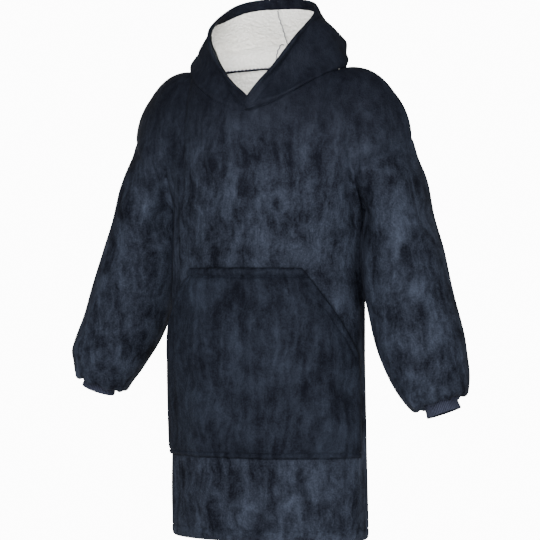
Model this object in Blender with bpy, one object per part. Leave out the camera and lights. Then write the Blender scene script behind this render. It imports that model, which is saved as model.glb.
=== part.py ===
"""Wearable blanket hoodie, filled out as it is worn, with no wearer inside.

Metres, +Z up. The garment faces -Y and its own left arm is at +X. The origin is the base
of the neck, level with the points where the neckline meets the shoulder seams. Each piece
of cloth starts as a slab in pattern space, u across the piece and v along it, and is then
bent on to that piece's surface and given its wall along the surface's normal.
"""
import functools
import math

import bmesh
import bpy
from mathutils import Vector

# Walls of cloth and the gaps between sewn pieces
SEAM_GAP = 0.0003
BODY_WALL = 0.0040
HOOD_WALL = 0.0022
LINING_WALL = 0.0024
POCKET_WALL = 0.0028
CUFF_WALL = 0.0032

# Body: level sections from the hem up to the underarm
HEM_Z = -0.900
UNDERARM_Z = -0.270
SIDE_SEAM_Y = 0.004
BODY_SECTIONS = (
    # z, half_width, front_depth, back_depth, shift_x
    (-0.900, 0.199, 0.121, 0.112, 0.004),
    (-0.745, 0.197, 0.124, 0.113, 0.002),
    (-0.560, 0.195, 0.126, 0.114, 0.000),
    (-0.384, 0.195, 0.125, 0.115, 0.000),
    (-0.270, 0.195, 0.120, 0.114, 0.000),
)

# Neckline, shoulder seam and armhole
NECK_HALF_WIDTH = 0.150
NECK_SIDE_Y = 0.010
NECK_SIDE_Z = -0.002
NECK_FRONT_Y = -0.116
NECK_FRONT_Z = -0.084
NECK_BACK_Y = 0.055
NECK_BACK_Z = 0.008
NECK_DIP_POWER = 1.65
NECK_SHARE = 0.5
SHOULDER_TIP = Vector((0.291, 0.028, -0.135))
SHOULDER_CREST = 0.008
SHOULDER_SHIFT = -0.004
CREST_SHARE = 0.55
ARMHOLE_FRONT_SWEEP = Vector((-0.0155, -0.084, 0.0105))
ARMHOLE_BACK_SWEEP = Vector((-0.0155, 0.076, 0.0105))
CHEST_TURN = {"front": 35.0, "back": 52.0}
SHOULDER_TURN = 90.0
ARMHOLE_REACH = 3

# Soft folds: ridges and dents along a line in pattern space
FRONT_FOLDS = (
    # u_start, v_start, u_end, v_end, width, height
    (0.97, 0.44, 0.80, 0.66, 0.060, 0.007),
    (0.93, 0.40, 0.70, 0.56, 0.060, -0.004),
    (-0.97, 0.44, -0.80, 0.69, 0.060, 0.006),
    (-0.93, 0.40, -0.70, 0.52, 0.060, -0.004),
    (0.80, 0.01, 0.88, 0.27, 0.060, 0.004),
    (-0.30, 0.01, -0.22, 0.11, 0.080, 0.004),
    (0.34, 0.01, 0.28, 0.11, 0.080, -0.004),
    (-0.72, 0.01, -0.66, 0.11, 0.070, 0.004),
)
BACK_FOLDS = (
    # u_start, v_start, u_end, v_end, width, height
    (0.97, 0.44, 0.72, 0.72, 0.060, 0.007),
    (-0.97, 0.43, -0.74, 0.66, 0.060, 0.006),
    (-0.42, 0.01, -0.30, 0.40, 0.110, 0.006),
    (0.10, 0.01, 0.04, 0.33, 0.100, -0.005),
    (0.52, 0.01, 0.40, 0.37, 0.110, 0.006),
    (-0.80, 0.01, -0.72, 0.29, 0.080, 0.005),
)
FOLD_TAPER = 0.12
FOLD_SIDE_FADE = 0.10

# Sleeves: tilted oval sections from below the armhole to the wrist, left arm
SLEEVE_SECTIONS = {
    "left": (
        # x, y, z, half_width, half_depth, tilt_degrees
        (0.258, 0.028, -0.243, 0.062, 0.081, 38.0),
        (0.262, 0.027, -0.315, 0.070, 0.086, 25.0),
        (0.273, 0.022, -0.385, 0.080, 0.088, 18.0),
        (0.291, 0.015, -0.455, 0.082, 0.085, 17.0),
        (0.3095, 0.008, -0.515, 0.083, 0.080, 17.5),
        (0.330, 0.000, -0.570, 0.077, 0.072, 19.0),
        (0.347, -0.006, -0.610, 0.067, 0.064, 20.0),
        (0.357, -0.009, -0.635, 0.053, 0.052, 20.0),
    ),
    "right": (
        # x, y, z, half_width, half_depth, tilt_degrees
        (0.261, 0.028, -0.243, 0.063, 0.081, 38.0),
        (0.267, 0.027, -0.313, 0.070, 0.085, 25.0),
        (0.281, 0.022, -0.378, 0.079, 0.086, 19.0),
        (0.298, 0.015, -0.442, 0.082, 0.082, 18.0),
        (0.315, 0.008, -0.498, 0.080, 0.076, 18.0),
        (0.338, 0.000, -0.548, 0.074, 0.070, 19.0),
        (0.351, -0.006, -0.586, 0.062, 0.062, 20.0),
        (0.356, -0.009, -0.609, 0.051, 0.051, 20.0),
    ),
}
UNDERARM_EASE = 0.0020
ARMHOLE_CLEARANCE = 0.00102
WRIST_TUCK = {"left": 0.002, "right": 0.008}
WRIST_GATHERS = 9
WRIST_GATHER_DEPTH = 0.0030
GATHER_PLACE = 0.90
GATHER_SPREAD = 0.07
GATHER_FADE = 0.083
SLEEVE_END_FADE = 0.125
SLEEVE_FOLDS = (
    # u_start, v_start, u_end, v_end, width, height
    (0.12, 0.05, 0.34, 0.22, 0.050, 0.006),
    (0.10, 0.16, 0.30, 0.34, 0.050, -0.005),
    (0.20, 0.62, 0.44, 0.74, 0.045, 0.006),
    (0.12, 0.74, 0.38, 0.80, 0.040, -0.005),
    (0.60, 0.60, 0.88, 0.72, 0.050, 0.006),
    (0.58, 0.30, 0.86, 0.42, 0.060, 0.005),
)

# Rib-knit cuffs
CUFF_LENGTH = 0.030
CUFF_RADIUS = 0.0357
CUFF_WAIST = 0.0018
CUFF_RIBS = 24
CUFF_RIB_HEIGHT = 0.0012

# Hood: rings of the outer cloth between the neck seam and the rim, left half
HOOD_RINGS = (
    # name, share, back (y, z), quarter (x, y, z), side (x, y, z)
    ("stand", 0.09, (0.053, 0.030), (0.114, 0.044, 0.023), (0.161, 0.012, 0.013)),
    ("roll", 0.18, (0.076, 0.048), (0.118, 0.056, 0.034), (0.153, 0.016, 0.028)),
    ("under", 0.30, (0.101, 0.004), (0.118, 0.072, 0.041), (0.146, 0.018, 0.038)),
    ("pouch_in", 0.42, (0.112, -0.080), (0.112, 0.091, 0.043), (0.143, 0.018, 0.047)),
    ("pouch_out", 0.54, (0.152, -0.086), (0.101, 0.099, 0.052), (0.138, 0.016, 0.056)),
    ("back", 0.67, (0.162, -0.018), (0.094, 0.093, 0.068), (0.133, 0.012, 0.065)),
    ("crown", 0.80, (0.114, 0.054), (0.093, 0.080, 0.085), (0.122, 0.002, 0.078)),
    ("brow", 0.92, (0.070, 0.103), (0.092, 0.057, 0.103), (0.108, -0.024, 0.085)),
)
HOOD_RIM = (
    # x, y, z, from the front end up and over to the centre seam
    (0.000, -0.116, -0.069),
    (0.032, -0.109, -0.033),
    (0.060, -0.102, 0.001),
    (0.082, -0.092, 0.033),
    (0.095, -0.073, 0.060),
    (0.101, -0.045, 0.083),
    (0.101, 0.000, 0.107),
    (0.084, 0.038, 0.130),
    (0.045, 0.047, 0.140),
    (0.000, 0.047, 0.141),
)
HOOD_HEM = 0.020
HOOD_HEM_MOST = 0.72
HEM_MARGIN = 0.0006
HOOD_LAP_FROM = 0.86
HOOD_LAP = {
    # side: x, z
    "left": (-0.006, 0.0),
    "right": (0.010, 0.0020),
}
HOOD_LIFT_RANGE = (0.80, 0.94)
HOOD_LIFT = 0.0095
HOOD_SEAM_LIFT = 0.40
HOOD_SEAM_ROWS = 0.28
SIDE_FADE = (0.5, 0.0)
QUARTER = 0.25
RING_STEPS = 4
LINING_END = 0.9

# Kangaroo pocket
POCKET_TOP_Z = -0.384
POCKET_SLANT_Z = -0.560
POCKET_BOTTOM_Z = -0.745
POCKET_TOP_SHARE = 0.395
POCKET_SIDE_SHARE = 0.900
POCKET_SLANT_START = 0.5
POCKET_BULGE = 0.012
POCKET_MOUTH = 0.62
POCKET_SIDE_POWER = 4
POCKET_ROUND = 0.6

# Mesh divisions: (across, along)
LOWER_ROWS = 10
ARMHOLE_ROWS = 12
BODY_GRID = (20, LOWER_ROWS + ARMHOLE_ROWS)
UNDERARM_V = LOWER_ROWS / BODY_GRID[1]
SLEEVE_GRID = (2 * ARMHOLE_ROWS, 13)
CUFF_GRID = (2 * CUFF_RIBS, 2)
HOOD_GRID = (10, 18)
LINING_GRID = (9, 16)
POCKET_GRID = (18, 8)
NECK_LINING_GRID = (10, 4)
HEM_ROWS = 2

# How finely a surface is measured, and how its walls turn to meet at the seams
STEP = 0.0005
NEAR = 1e-6
SEAM_BLEND = 0.15
NECK_BLEND = 0.025
SEAM_MEET = 0.25
ARMHOLE_MEET = 0.4

PLUSH = ("navy plush flannel", (0.020, 0.029, 0.050), 0.85)
SHERPA = ("cream sherpa", (0.80, 0.79, 0.74), 0.95)
RIB = ("navy rib knit", (0.036, 0.042, 0.075), 0.90)


def clear_scene():
    for old in list(bpy.data.objects):
        bpy.data.objects.remove(old, do_unlink=True)


def make_material(piece, finish):
    """A piece's own Principled material, from a named finish of cloth."""
    name, colour, roughness = finish
    material = bpy.data.materials.new(f"{name}, {piece}")
    material.use_nodes = True
    shader = material.node_tree.nodes["Principled BSDF"]
    shader.inputs["Base Color"].default_value = (*colour, 1.0)
    shader.inputs["Roughness"].default_value = roughness
    shader.inputs["Metallic"].default_value = 0.0
    return material


def smooth(value):
    """A soft step from 0 to 1."""
    value = min(max(value, 0.0), 1.0)
    return value * value * (3.0 - 2.0 * value)


def through(points, share):
    """The place at a share, 0 to 1, of a smooth curve that runs through the points."""
    span = share * (len(points) - 1)
    index = min(max(int(span), 0), len(points) - 2)
    t = span - index
    here, after = points[index], points[index + 1]
    before = points[index - 1] if index > 0 else here * 2.0 - after
    beyond = points[index + 2] if index + 2 < len(points) else after * 2.0 - here
    return 0.5 * (here * 2.0 + (after - before) * t
                  + (before * 2.0 - here * 5.0 + after * 4.0 - beyond) * t ** 2
                  + (here * 3.0 - before - after * 3.0 + beyond) * t ** 3)


def fold_height(folds, u, v):
    """How far the folds in a table lift the cloth at one place of its pattern."""
    height = 0.0
    for u_start, v_start, u_end, v_end, width, lift in folds:
        run = Vector((u_end - u_start, v_end - v_start))
        place = Vector((u - u_start, v - v_start))
        along = min(max(place.dot(run) / run.length_squared, 0.0), 1.0)
        away = (place - run * along).length / width
        taper = math.sin(math.pi * (FOLD_TAPER + (1.0 - 2.0 * FOLD_TAPER) * along))
        height += lift * taper * math.exp(-away * away)
    return height


def frame_of(surface, outward=1.0):
    """A function that gives a surface's point and its outward normal at (u, v)."""
    def frame(u, v):
        across = surface(u + STEP, v) - surface(u - STEP, v)
        along = surface(u, v + STEP) - surface(u, v - STEP)
        return surface(u, v), across.cross(along).normalized() * outward
    return frame


def bend_cloth(name, finish, grid, frame, wall, folds=None, ribs=None,
               u_range=(-1.0, 1.0), tube=False):
    """Bend a slab of cloth on to a surface. Folds move its whole wall, ribs its outside."""
    mesh_data = bmesh.new()
    bmesh.ops.create_grid(mesh_data, x_segments=grid[0], y_segments=grid[1], size=0.5)
    bmesh.ops.triangulate(mesh_data, faces=mesh_data.faces[:], quad_method="FIXED")
    for vert in mesh_data.verts:
        share = vert.co.x + 0.5
        vert.co = (u_range[0] + (u_range[1] - u_range[0]) * share, vert.co.y + 0.5, 0.0)
    inside = bmesh.ops.extrude_face_region(mesh_data, geom=mesh_data.faces[:], use_keep_orig=True)
    for part in inside["geom"]:
        if isinstance(part, bmesh.types.BMVert):
            part.co.z = 1.0
    if tube:
        ends = [face for face in mesh_data.faces
                if all(abs(vert.co.x - u_range[0]) < NEAR for vert in face.verts)
                or all(abs(vert.co.x - u_range[1]) < NEAR for vert in face.verts)]
        bmesh.ops.delete(mesh_data, geom=ends, context="FACES")
    for vert in mesh_data.verts:
        u, v, depth = vert.co
        if tube and u > u_range[1] - NEAR:
            u = u_range[0]
        point, normal = frame(u, v)
        lift = folds(u, v) if folds else 0.0
        lift += ribs(u, v) * (1.0 - depth) if ribs else 0.0
        vert.co = point + normal * (lift - depth * wall(u, v))
    if tube:
        bmesh.ops.remove_doubles(mesh_data, verts=mesh_data.verts[:], dist=NEAR)
    bmesh.ops.recalc_face_normals(mesh_data, faces=mesh_data.faces[:])
    if mesh_data.calc_volume(signed=True) < 0.0:
        bmesh.ops.reverse_faces(mesh_data, faces=mesh_data.faces[:])
    mesh = bpy.data.meshes.new(name)
    mesh_data.to_mesh(mesh)
    mesh_data.free()
    mesh.shade_smooth()
    piece = bpy.data.objects.new(name, mesh)
    bpy.context.collection.objects.link(piece)
    mesh.materials.append(make_material(name, finish))
    return piece


def section_at(z):
    """Half width, front depth, back depth and shift of the body at one height."""
    rows = BODY_SECTIONS
    index = 0
    while index < len(rows) - 2 and z > rows[index + 1][0]:
        index += 1
    low, high = rows[index], rows[index + 1]
    share = (z - low[0]) / (high[0] - low[0])
    return [a + (b - a) * share for a, b in zip(low[1:], high[1:])]


def body_ring(panel, u, z):
    """Point on the level section below the arms, u from one side seam to the other."""
    half_width, front_depth, back_depth, shift_x = section_at(z)
    angle = math.radians(90.0 * u)
    depth = -(front_depth + SIDE_SEAM_Y) if panel == "front" else back_depth - SIDE_SEAM_Y
    x = shift_x + half_width * math.sin(angle)
    return Vector((x, SIDE_SEAM_Y + depth * math.cos(angle), z))


def neckline(panel, angle):
    """Neck seam: angle 0 is the centre of the panel and 90 degrees is the shoulder."""
    turn = math.sin(abs(angle))
    middle_y = NECK_FRONT_Y if panel == "front" else NECK_BACK_Y
    middle_z = NECK_FRONT_Z if panel == "front" else NECK_BACK_Z
    y = NECK_SIDE_Y + (middle_y - NECK_SIDE_Y) * math.cos(angle)
    dip = 1.0 - min(turn, 1.0) ** NECK_DIP_POWER
    z = NECK_SIDE_Z + (middle_z - NECK_SIDE_Z) * dip
    return Vector((NECK_HALF_WIDTH * math.sin(angle), y, z))


def top_edge(panel, u):
    """Neckline to the neck share of the pattern, then the shoulder seam to its tip."""
    if abs(u) <= NECK_SHARE:
        return neckline(panel, math.radians(90.0 * u / NECK_SHARE))
    share = (abs(u) - NECK_SHARE) / (1.0 - NECK_SHARE)
    turn = math.radians(90.0 * share)
    x = NECK_HALF_WIDTH + (SHOULDER_TIP.x - NECK_HALF_WIDTH) * math.sin(turn)
    y = NECK_SIDE_Y + (SHOULDER_TIP.y - NECK_SIDE_Y) * share
    z = NECK_SIDE_Z + (SHOULDER_TIP.z - NECK_SIDE_Z) * (1.0 - math.cos(turn))
    z += SHOULDER_CREST * math.sin(math.pi * min(share / CREST_SHARE, 1.0))
    return Vector((math.copysign(x, u) + SHOULDER_SHIFT * share, y, z))


def armhole(panel, side, share):
    """Armhole seam on one panel, from the underarm to the shoulder tip."""
    start = body_ring(panel, side, UNDERARM_Z)
    tip = Vector((side * SHOULDER_TIP.x + SHOULDER_SHIFT, SHOULDER_TIP.y, SHOULDER_TIP.z))
    sweep = ARMHOLE_FRONT_SWEEP if panel == "front" else ARMHOLE_BACK_SWEEP
    sweep = Vector((side * sweep.x, sweep.y, sweep.z))
    return start.lerp(tip, share) + sweep * math.sin(math.pi * share)


def rise(low, top, share, turn):
    """Go from low to top on an arc that starts upright and leans over by turn."""
    flat = (1.0 - math.cos(share * turn)) / (1.0 - math.cos(turn))
    upright = math.sin(share * turn) / math.sin(turn)
    return Vector((low.x + (top.x - low.x) * share,
                   low.y + (top.y - low.y) * flat,
                   low.z + (top.z - low.z) * upright))


def body_surface(panel):
    """Outer face of the front or back: u across, v from the hem to the shoulder."""
    away = -1.0 if panel == "front" else 1.0

    def surface(u, v):
        if v <= UNDERARM_V:
            z = HEM_Z + (UNDERARM_Z - HEM_Z) * v / UNDERARM_V
            point = body_ring(panel, u, z)
        else:
            share = (v - UNDERARM_V) / (1.0 - UNDERARM_V)
            side = math.copysign(1.0, u)
            lean = smooth(abs(u) / NECK_SHARE)
            turn = math.radians(CHEST_TURN[panel] + (SHOULDER_TURN - CHEST_TURN[panel]) * lean)
            point = rise(body_ring(panel, u, UNDERARM_Z), top_edge(panel, u), share, turn)
            corner = rise(body_ring(panel, side, UNDERARM_Z), top_edge(panel, side),
                          share, math.radians(SHOULDER_TURN))
            point += (armhole(panel, side, share) - corner) * abs(u) ** ARMHOLE_REACH
        return point + Vector((0.0, away * SEAM_GAP / 2, 0.0))
    return surface


@functools.lru_cache(maxsize=None)
def raw_frame(piece):
    """Point and normal of a panel, sleeve or hood half, before its seams are matched."""
    if piece in ("front", "back"):
        return frame_of(body_surface(piece), 1.0 if piece == "front" else -1.0)
    kind, side_name = piece.split("_")
    outward = -1.0 if side_name == "left" else 1.0
    surface = sleeve_surface(side_name) if kind == "sleeve" else hood_surface(side_name)
    return frame_of(surface, outward)


def meet(own, others, full=SEAM_MEET):
    """Turn a panel's normal to its neighbours' at a seam, unless they meet in a hollow."""
    normal = own.copy()
    for other in others:
        normal += other * smooth(own.dot(other) / full)
    return normal.normalized()


def armhole_normals(panel, side, share):
    """Normals of the body and of the sleeve where they meet on the armhole seam."""
    v = UNDERARM_V + (1.0 - UNDERARM_V) * share
    at_ends = share < NEAR or share > 1.0 - NEAR
    panels = ("front", "back") if at_ends else (panel,)
    bodies = [raw_frame(name)(side, v)[1] for name in panels]
    around = share / 2.0 if panel == "front" else 1.0 - share / 2.0
    sleeve = raw_frame("sleeve_left" if side > 0 else "sleeve_right")(around, 0.0)[1]
    body = sum(bodies, Vector()).normalized()
    return body, sleeve


def body_frame(panel):
    """Point and wall direction of a body panel, matched to its neighbours at the seams."""
    other = "back" if panel == "front" else "front"

    def frame(u, v):
        point, normal = raw_frame(panel)(u, v)
        edge = smooth((abs(u) - 1.0 + SEAM_BLEND) / SEAM_BLEND)
        if v > 1.0 - NEAR and abs(u) < 1.0 - NEAR:
            neighbours = []
            if abs(u) > NECK_SHARE - NEAR:
                neighbours.append(raw_frame(other)(u, v)[1])
            if abs(u) < NECK_SHARE + NEAR:
                half = "hood_left" if u > 0.0 else "hood_right"
                theta = 1.0 - abs(u) if panel == "front" else abs(u)
                neighbours.append(raw_frame(half)(theta, 0.0)[1])
            normal = meet(normal, neighbours)
        elif edge > 0.0 and v > UNDERARM_V - NEAR:
            share = min(max((v - UNDERARM_V) / (1.0 - UNDERARM_V), 0.0), 1.0)
            body, sleeve = armhole_normals(panel, math.copysign(1.0, u), share)
            normal = normal.lerp(meet(body, [sleeve], ARMHOLE_MEET), edge).normalized()
        return point, normal
    return frame


def front_relief(u, v):
    return fold_height(FRONT_FOLDS, u, v) * smooth((1.0 - abs(u)) / FOLD_SIDE_FADE)


def back_relief(u, v):
    return fold_height(BACK_FOLDS, u, v) * smooth((1.0 - abs(u)) / FOLD_SIDE_FADE)


def make_body():
    """Front, back and the lining that shows inside the back of the neck."""
    bend_cloth("front", PLUSH, BODY_GRID, body_frame("front"), lambda u, v: BODY_WALL,
               front_relief)
    bend_cloth("back", PLUSH, BODY_GRID, body_frame("back"), lambda u, v: BODY_WALL,
               back_relief)
    depth_share = NECK_LINING_GRID[1] / BODY_GRID[1]

    def neck_lining_frame(u, v):
        v = 1.0 - depth_share * (1.0 - v)
        point, normal = body_frame("back")(u, v)
        return point + normal * (back_relief(u, v) - BODY_WALL - SEAM_GAP), normal
    bend_cloth("back_neck_lining", SHERPA, NECK_LINING_GRID, neck_lining_frame,
               lambda u, v: LINING_WALL, u_range=(-NECK_SHARE, NECK_SHARE))


def sleeve_surface(side_name):
    """Outer face of a sleeve: u round it from the underarm by the front, v down it."""
    side = 1.0 if side_name == "left" else -1.0
    sections = SLEEVE_SECTIONS[side_name]

    def section(row, u):
        x, y, z, half_width, half_depth, tilt = row
        angle = math.pi - 2.0 * math.pi * u
        lean = math.radians(tilt)
        out = half_width * math.cos(angle)
        return Vector((side * (x + out * math.cos(lean)), y - half_depth * math.sin(angle),
                       z + out * math.sin(lean)))

    def surface(u, v):
        around = u % 1.0
        panel = "front" if around <= 0.5 else "back"
        share = 2.0 * around if around <= 0.5 else 2.0 - 2.0 * around
        seam = armhole(panel, side, share)
        rings = [seam]
        rings += [section(row, u) for row in sections]
        rings.append(wrist_ring(side_name, u))
        gap = ARMHOLE_CLEARANCE + UNDERARM_EASE * max(math.cos(2.0 * math.pi * u), 0.0) ** 2
        start = gap / (rings[1] - rings[0]).length / (len(rings) - 1)
        return through(rings, start + v * (1.0 - start))
    return surface


def wrist_axis(side_name):
    """Centre of the sleeve's end, and the direction that the cuff runs in."""
    side = 1.0 if side_name == "left" else -1.0
    x, y, z, _, _, tilt = SLEEVE_SECTIONS[side_name][-1]
    lean = math.radians(tilt)
    direction = Vector((side * math.sin(lean), 0.0, -math.cos(lean)))
    centre = Vector((side * x, y, z))
    return centre - direction * WRIST_TUCK[side_name], direction


def ring_point(side_name, centre, radius, u):
    """Point on a round ring across the wrist, in the same order as the sleeve's u."""
    side = 1.0 if side_name == "left" else -1.0
    lean = math.radians(SLEEVE_SECTIONS[side_name][-1][5])
    angle = math.pi - 2.0 * math.pi * u
    across = Vector((side * math.cos(lean), 0.0, math.sin(lean)))
    return centre + across * radius * math.cos(angle) - Vector((0, radius * math.sin(angle), 0))


def wrist_ring(side_name, u):
    centre, direction = wrist_axis(side_name)
    return ring_point(side_name, centre, CUFF_RADIUS + SEAM_GAP, u)


def make_sleeve(side_name):
    """A wide sleeve gathered into its rib-knit cuff."""
    outward = -1.0 if side_name == "left" else 1.0

    def relief(u, v):
        gather = WRIST_GATHER_DEPTH * math.sin(2.0 * math.pi * WRIST_GATHERS * u)
        gather *= math.exp(-((v - GATHER_PLACE) / GATHER_SPREAD) ** 2)
        gather *= smooth((1.0 - v) / GATHER_FADE)
        edge = smooth(v / SLEEVE_END_FADE) * smooth((1.0 - v) / SLEEVE_END_FADE)
        return gather + fold_height(SLEEVE_FOLDS, u, v) * edge

    def frame(u, v):
        point, normal = raw_frame("sleeve_" + side_name)(u, v)
        if v < NEAR:
            around = u % 1.0
            panel = "front" if around <= 0.5 else "back"
            share = 2.0 * around if panel == "front" else 2.0 - 2.0 * around
            body, sleeve = armhole_normals(panel, 1.0 if side_name == "left" else -1.0, share)
            normal = meet(sleeve, [body], ARMHOLE_MEET)
        return point, normal
    bend_cloth("sleeve_" + side_name, PLUSH, SLEEVE_GRID, frame, lambda u, v: BODY_WALL,
               relief, u_range=(0.0, 1.0), tube=True)

    centre, direction = wrist_axis(side_name)

    def cuff_surface(u, v):
        place = centre + direction * (CUFF_LENGTH * v - BODY_WALL)
        waist = CUFF_WAIST * math.sin(math.pi * min(max(v, 0.0), 1.0))
        radius = CUFF_RADIUS - CUFF_RIB_HEIGHT - waist
        return ring_point(side_name, place, radius, u)

    def ribs(u, v):
        return CUFF_RIB_HEIGHT * (0.5 + 0.5 * math.cos(2.0 * math.pi * CUFF_RIBS * u))
    bend_cloth("cuff_" + side_name, RIB, CUFF_GRID, frame_of(cuff_surface, outward),
               lambda u, v: CUFF_WALL, ribs=ribs, u_range=(0.0, 1.0), tube=True)


def hood_neck(theta):
    """Hood's edge on the neck seam: theta 0 at the centre back, 1 at the centre front."""
    if theta <= 0.5:
        point = neckline("back", math.pi * theta)
    else:
        point = neckline("front", math.pi * (1.0 - theta))
    inward = Vector((-point.x, NECK_SIDE_Y - point.y, 0.0)).normalized()
    return point + (inward + Vector((0.0, 0.0, 1.0))) * SEAM_GAP * 2.0


def hood_rim(theta):
    return through([Vector(row) for row in HOOD_RIM], 1.0 - theta)


@functools.lru_cache(maxsize=None)
def hood_profile(theta):
    """Points up the hood from the neck seam to the rim, and their distances, at one theta."""
    mirror = -1.0 if theta < 0.0 else 1.0
    theta = abs(theta)
    ends = hood_neck(theta), hood_rim(theta)
    rings = [ends[0]]
    for _, share, back, quarter, side in HOOD_RINGS:
        held = Vector((0.0, *back)), Vector(quarter), Vector(side)
        leans = []
        for number, place in enumerate(held):
            at = number * QUARTER
            leans.append(place - hood_neck(at).lerp(hood_rim(at), share))
        leans += [leans[2] * fade for fade in SIDE_FADE]
        leans.insert(0, Vector((-leans[1].x, leans[1].y, leans[1].z)))
        lean = through(leans, (theta + QUARTER) / (1.0 + QUARTER))
        rings.append(ends[0].lerp(ends[1], share) + lean)
    rings.append(ends[1])
    count = RING_STEPS * len(rings)
    points = [through(rings, number / count) for number in range(count + 1)]
    lengths = [0.0]
    for before, after in zip(points, points[1:]):
        lengths.append(lengths[-1] + (after - before).length)
    return [Vector((mirror * p.x, p.y, p.z)) for p in points], lengths


def hood_surface(side_name):
    """Outer face of half the hood: u is theta from back to front, v runs up to the rim."""
    side = 1.0 if side_name == "left" else -1.0

    def surface(u, v):
        points, lengths = hood_profile(u)
        distance = v * lengths[-1]
        index = 0
        while index < len(lengths) - 2 and distance > lengths[index + 1]:
            index += 1
        share = (distance - lengths[index]) / (lengths[index + 1] - lengths[index])
        point = points[index].lerp(points[index + 1], share)
        lap = smooth((u - HOOD_LAP_FROM) / (1.0 - HOOD_LAP_FROM))
        across, up = HOOD_LAP[side_name]
        point = point + Vector((-across, 0.0, up)) * lap
        if side_name == "left":
            start, full = HOOD_LIFT_RANGE
            lift = smooth((u - start) / (full - start))
            clear = smooth(v / HOOD_SEAM_ROWS)
            out = HOOD_LIFT * (HOOD_SEAM_LIFT + (1.0 - HOOD_SEAM_LIFT) * clear)
            point = point - Vector((0.0, out * lift, 0.0))
        return Vector((side * (point.x + SEAM_GAP / 2), point.y, point.z))
    return surface


def hem_start(theta):
    """Share of the way up the hood where its turned hem starts."""
    lengths = hood_profile(theta)[1]
    return 1.0 - min(HOOD_HEM / lengths[-1], HOOD_HEM_MOST)


def make_hood(side_name):
    """Half of the hood's outer cloth with its turned hem, and the lining inside it."""
    side = 1.0 if side_name == "left" else -1.0
    body_share = 1.0 - HEM_ROWS / HOOD_GRID[1]

    def frame(u, v):
        point, normal = raw_frame("hood_" + side_name)(u, v)
        edge = 1.0 - smooth(v * hood_profile(u)[1][-1] / NECK_BLEND)
        if edge > 0.0:
            neighbours = []
            if u > 0.5 - NEAR:
                neighbours.append(raw_frame("front")(side * (1.0 - u), 1.0)[1])
            if u < 0.5 + NEAR:
                neighbours.append(raw_frame("back")(side * u, 1.0)[1])
            seam = meet(raw_frame("hood_" + side_name)(u, 0.0)[1], neighbours)
            normal = normal.lerp(seam, edge).normalized()
        return point, normal

    def shell_frame(u, v):
        start = hem_start(u)
        if v <= body_share:
            return frame(u, start * v / body_share)
        return frame(u, start + (1.0 - start) * (v - body_share) / (1.0 - body_share))

    def shell_wall(u, v):
        turned = LINING_WALL + 3.0 * SEAM_GAP if v > body_share + NEAR else 0.0
        return HOOD_WALL + turned
    bend_cloth("hood_" + side_name, PLUSH, HOOD_GRID, shell_frame, shell_wall,
               u_range=(0.0, 1.0))

    def lining_frame(u, v):
        margin = HEM_MARGIN / hood_profile(u)[1][-1] * smooth(1.0 - (1.0 - v) * LINING_GRID[1])
        point, normal = frame(u, hem_start(u) * v - margin)
        return point - normal * (HOOD_WALL + 3.0 * SEAM_GAP), normal
    bend_cloth("hood_lining_" + side_name, SHERPA, LINING_GRID, lining_frame,
               lambda u, v: LINING_WALL, u_range=(0.0, LINING_END))


def make_pocket():
    """Kangaroo pocket: the front's own points moved out, free at its slanted mouths."""
    def front_place(s, t):
        if t <= POCKET_SLANT_START:
            z = POCKET_BOTTOM_Z + (POCKET_SLANT_Z - POCKET_BOTTOM_Z) * t / POCKET_SLANT_START
            half = POCKET_SIDE_SHARE
        else:
            slant = (t - POCKET_SLANT_START) / (1.0 - POCKET_SLANT_START)
            z = POCKET_SLANT_Z + (POCKET_TOP_Z - POCKET_SLANT_Z) * slant
            half = POCKET_SIDE_SHARE + (POCKET_TOP_SHARE - POCKET_SIDE_SHARE) * slant
        return s * half, UNDERARM_V * (z - HEM_Z) / (UNDERARM_Z - HEM_Z)

    def bulge(s, t):
        slant = max(t - POCKET_SLANT_START, 0.0) / (1.0 - POCKET_SLANT_START)
        mouth = POCKET_MOUTH * math.sqrt(math.sin(math.pi * slant)) if slant < 1.0 else 0.0
        side_hold = 1.0 - abs(s) ** POCKET_SIDE_POWER * (1.0 - mouth)
        across = math.sin(math.pi * min(max(t, 0.0), 1.0))
        return POCKET_BULGE * side_hold * across ** POCKET_ROUND

    def frame(s, t):
        u, v = front_place(s, t)
        point, normal = body_frame("front")(u, v)
        lift = front_relief(u, v) + 2.0 * SEAM_GAP + POCKET_WALL + bulge(s, t)
        return point + normal * lift, normal
    bend_cloth("pocket", PLUSH, POCKET_GRID, frame, lambda u, v: POCKET_WALL)


clear_scene()
make_body()
make_pocket()
for arm in ("left", "right"):
    make_sleeve(arm)
    make_hood(arm)
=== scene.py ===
"""Wearable blanket hoodie: plush outside and sherpa inside, filled out as it is worn."""
import functools
import math

import bmesh
import bpy
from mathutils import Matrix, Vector, noise


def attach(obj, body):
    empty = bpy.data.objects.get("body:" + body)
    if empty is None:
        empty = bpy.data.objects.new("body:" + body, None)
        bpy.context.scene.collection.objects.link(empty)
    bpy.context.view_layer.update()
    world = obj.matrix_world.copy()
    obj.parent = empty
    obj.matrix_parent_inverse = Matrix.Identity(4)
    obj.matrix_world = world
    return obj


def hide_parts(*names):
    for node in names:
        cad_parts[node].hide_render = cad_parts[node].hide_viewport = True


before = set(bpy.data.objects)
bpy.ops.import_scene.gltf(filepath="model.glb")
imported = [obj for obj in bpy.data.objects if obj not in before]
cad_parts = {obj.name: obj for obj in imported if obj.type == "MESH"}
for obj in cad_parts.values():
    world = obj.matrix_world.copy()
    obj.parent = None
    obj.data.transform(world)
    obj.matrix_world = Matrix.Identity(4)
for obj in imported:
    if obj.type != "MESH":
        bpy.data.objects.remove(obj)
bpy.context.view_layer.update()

# Front and back
# Two wide panels of plush flannel bonded to a sherpa face, sewn together down the sides and
# over the dropped shoulders. The bottom edge is turned up inside and stitched.
PLUSH_WALL = 0.0040
PILE = 0.0018
SEAM_ROLL = 0.0050
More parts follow.
